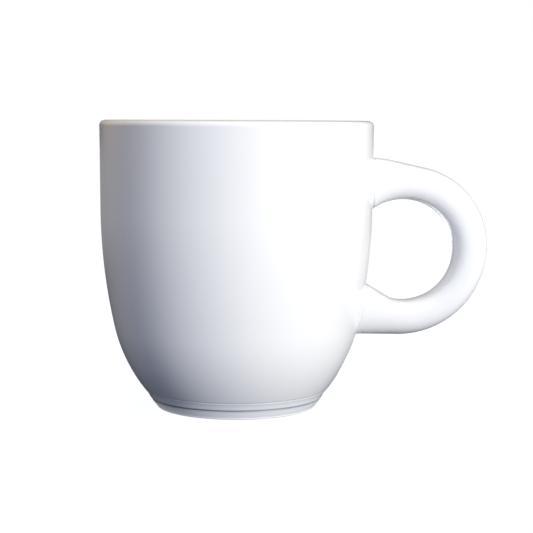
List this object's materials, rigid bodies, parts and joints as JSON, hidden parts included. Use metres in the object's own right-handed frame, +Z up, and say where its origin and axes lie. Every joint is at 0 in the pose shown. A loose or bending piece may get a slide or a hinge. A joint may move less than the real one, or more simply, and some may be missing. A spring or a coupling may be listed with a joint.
{
  "type": "shaving mug",
  "caption": "White glazed shaving mug with a rounded belly, a turned foot ring, a round loop handle and a loose cake of shaving soap inside.",
  "frame": {"origin": "where the cup's axis meets the table, at the centre of the foot ring's bearing face", "axes": "+Z up along the cup's axis, +X from the axis towards the handle, +Y across the handle"},
  "size_m": [0.1217, 0.0856, 0.09],
  "materials": {
    "white_glaze": "satin",
    "foot_glaze": "satin",
    "glazed_slip": "satin",
    "soap": "matte"
  },
  "bodies": {
    "mug": {"cup_body": "white_glaze", "foot_ring": "foot_glaze", "foot_slip": "glazed_slip", "handle": "white_glaze", "upper_handle_slip": "glazed_slip", "lower_handle_slip": "glazed_slip"},
    "soap": {"shaving_soap": "soap"}
  },
  "joints": [
    {"name": "soap_lift", "type": "slide", "parent": "mug", "child": "soap", "axis": [0, 0, 1], "range_m": [0, 0.09]}
  ]
}
